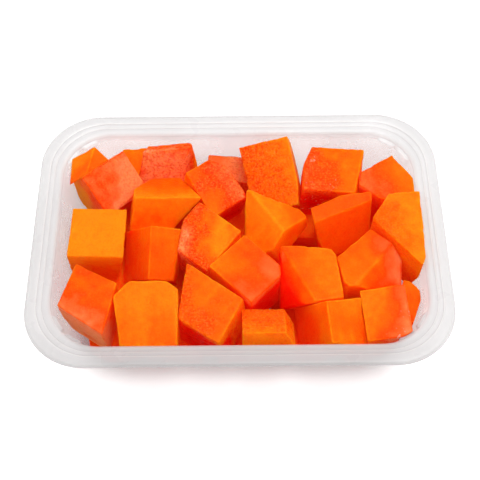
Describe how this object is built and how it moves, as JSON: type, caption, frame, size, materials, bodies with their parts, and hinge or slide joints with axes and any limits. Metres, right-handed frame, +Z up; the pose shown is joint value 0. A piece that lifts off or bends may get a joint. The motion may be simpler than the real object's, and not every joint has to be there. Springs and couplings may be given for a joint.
{
  "type": "tray of diced papaya",
  "caption": "Open rectangular clear plastic food tray with a stepped rim, filled with loose knife-cut cubes of ripe papaya.",
  "frame": {"origin": "centre of the tray's box, on the surface that the tray stands on", "axes": "+X along the tray, +Y to its far side, +Z up"},
  "size_m": [0.172, 0.121, 0.0496],
  "materials": {
    "tray_plastic": "milky clear, thin moulded, soft gloss",
    "papaya_flesh": "wet cut fruit flesh, orange to salmon"
  },
  "bodies": {
    "root": {"tray": "tray_plastic", "papaya_far_1": "papaya_flesh", "papaya_far_2": "papaya_flesh", "papaya_far_3": "papaya_flesh", "papaya_far_4": "papaya_flesh", "papaya_far_5": "papaya_flesh", "papaya_far_6": "papaya_flesh", "papaya_far_7": "papaya_flesh", "papaya_far_8": "papaya_flesh", "papaya_far_9": "papaya_flesh", "papaya_back_1": "papaya_flesh", "papaya_back_2": "papaya_flesh", "papaya_back_3": "papaya_flesh", "papaya_back_4": "papaya_flesh", "papaya_back_5": "papaya_flesh", "papaya_back_6": "papaya_flesh", "papaya_back_7": "papaya_flesh", "papaya_front_1": "papaya_flesh", "papaya_front_2": "papaya_flesh", "papaya_front_3": "papaya_flesh", "papaya_front_4": "papaya_flesh", "papaya_front_5": "papaya_flesh", "papaya_front_6": "papaya_flesh", "papaya_near_1": "papaya_flesh", "papaya_near_2": "papaya_flesh", "papaya_near_3": "papaya_flesh", "papaya_near_4": "papaya_flesh", "papaya_low_1": "papaya_flesh", "papaya_low_2": "papaya_flesh", "papaya_low_3": "papaya_flesh", "papaya_low_4": "papaya_flesh", "papaya_low_5": "papaya_flesh", "papaya_low_6": "papaya_flesh", "papaya_low_7": "papaya_flesh", "papaya_low_8": "papaya_flesh", "papaya_low_9": "papaya_flesh", "papaya_low_10": "papaya_flesh", "papaya_low_11": "papaya_flesh", "papaya_low_12": "papaya_flesh", "papaya_low_13": "papaya_flesh", "papaya_low_14": "papaya_flesh", "papaya_low_15": "papaya_flesh"}
  },
  "joints": []
}
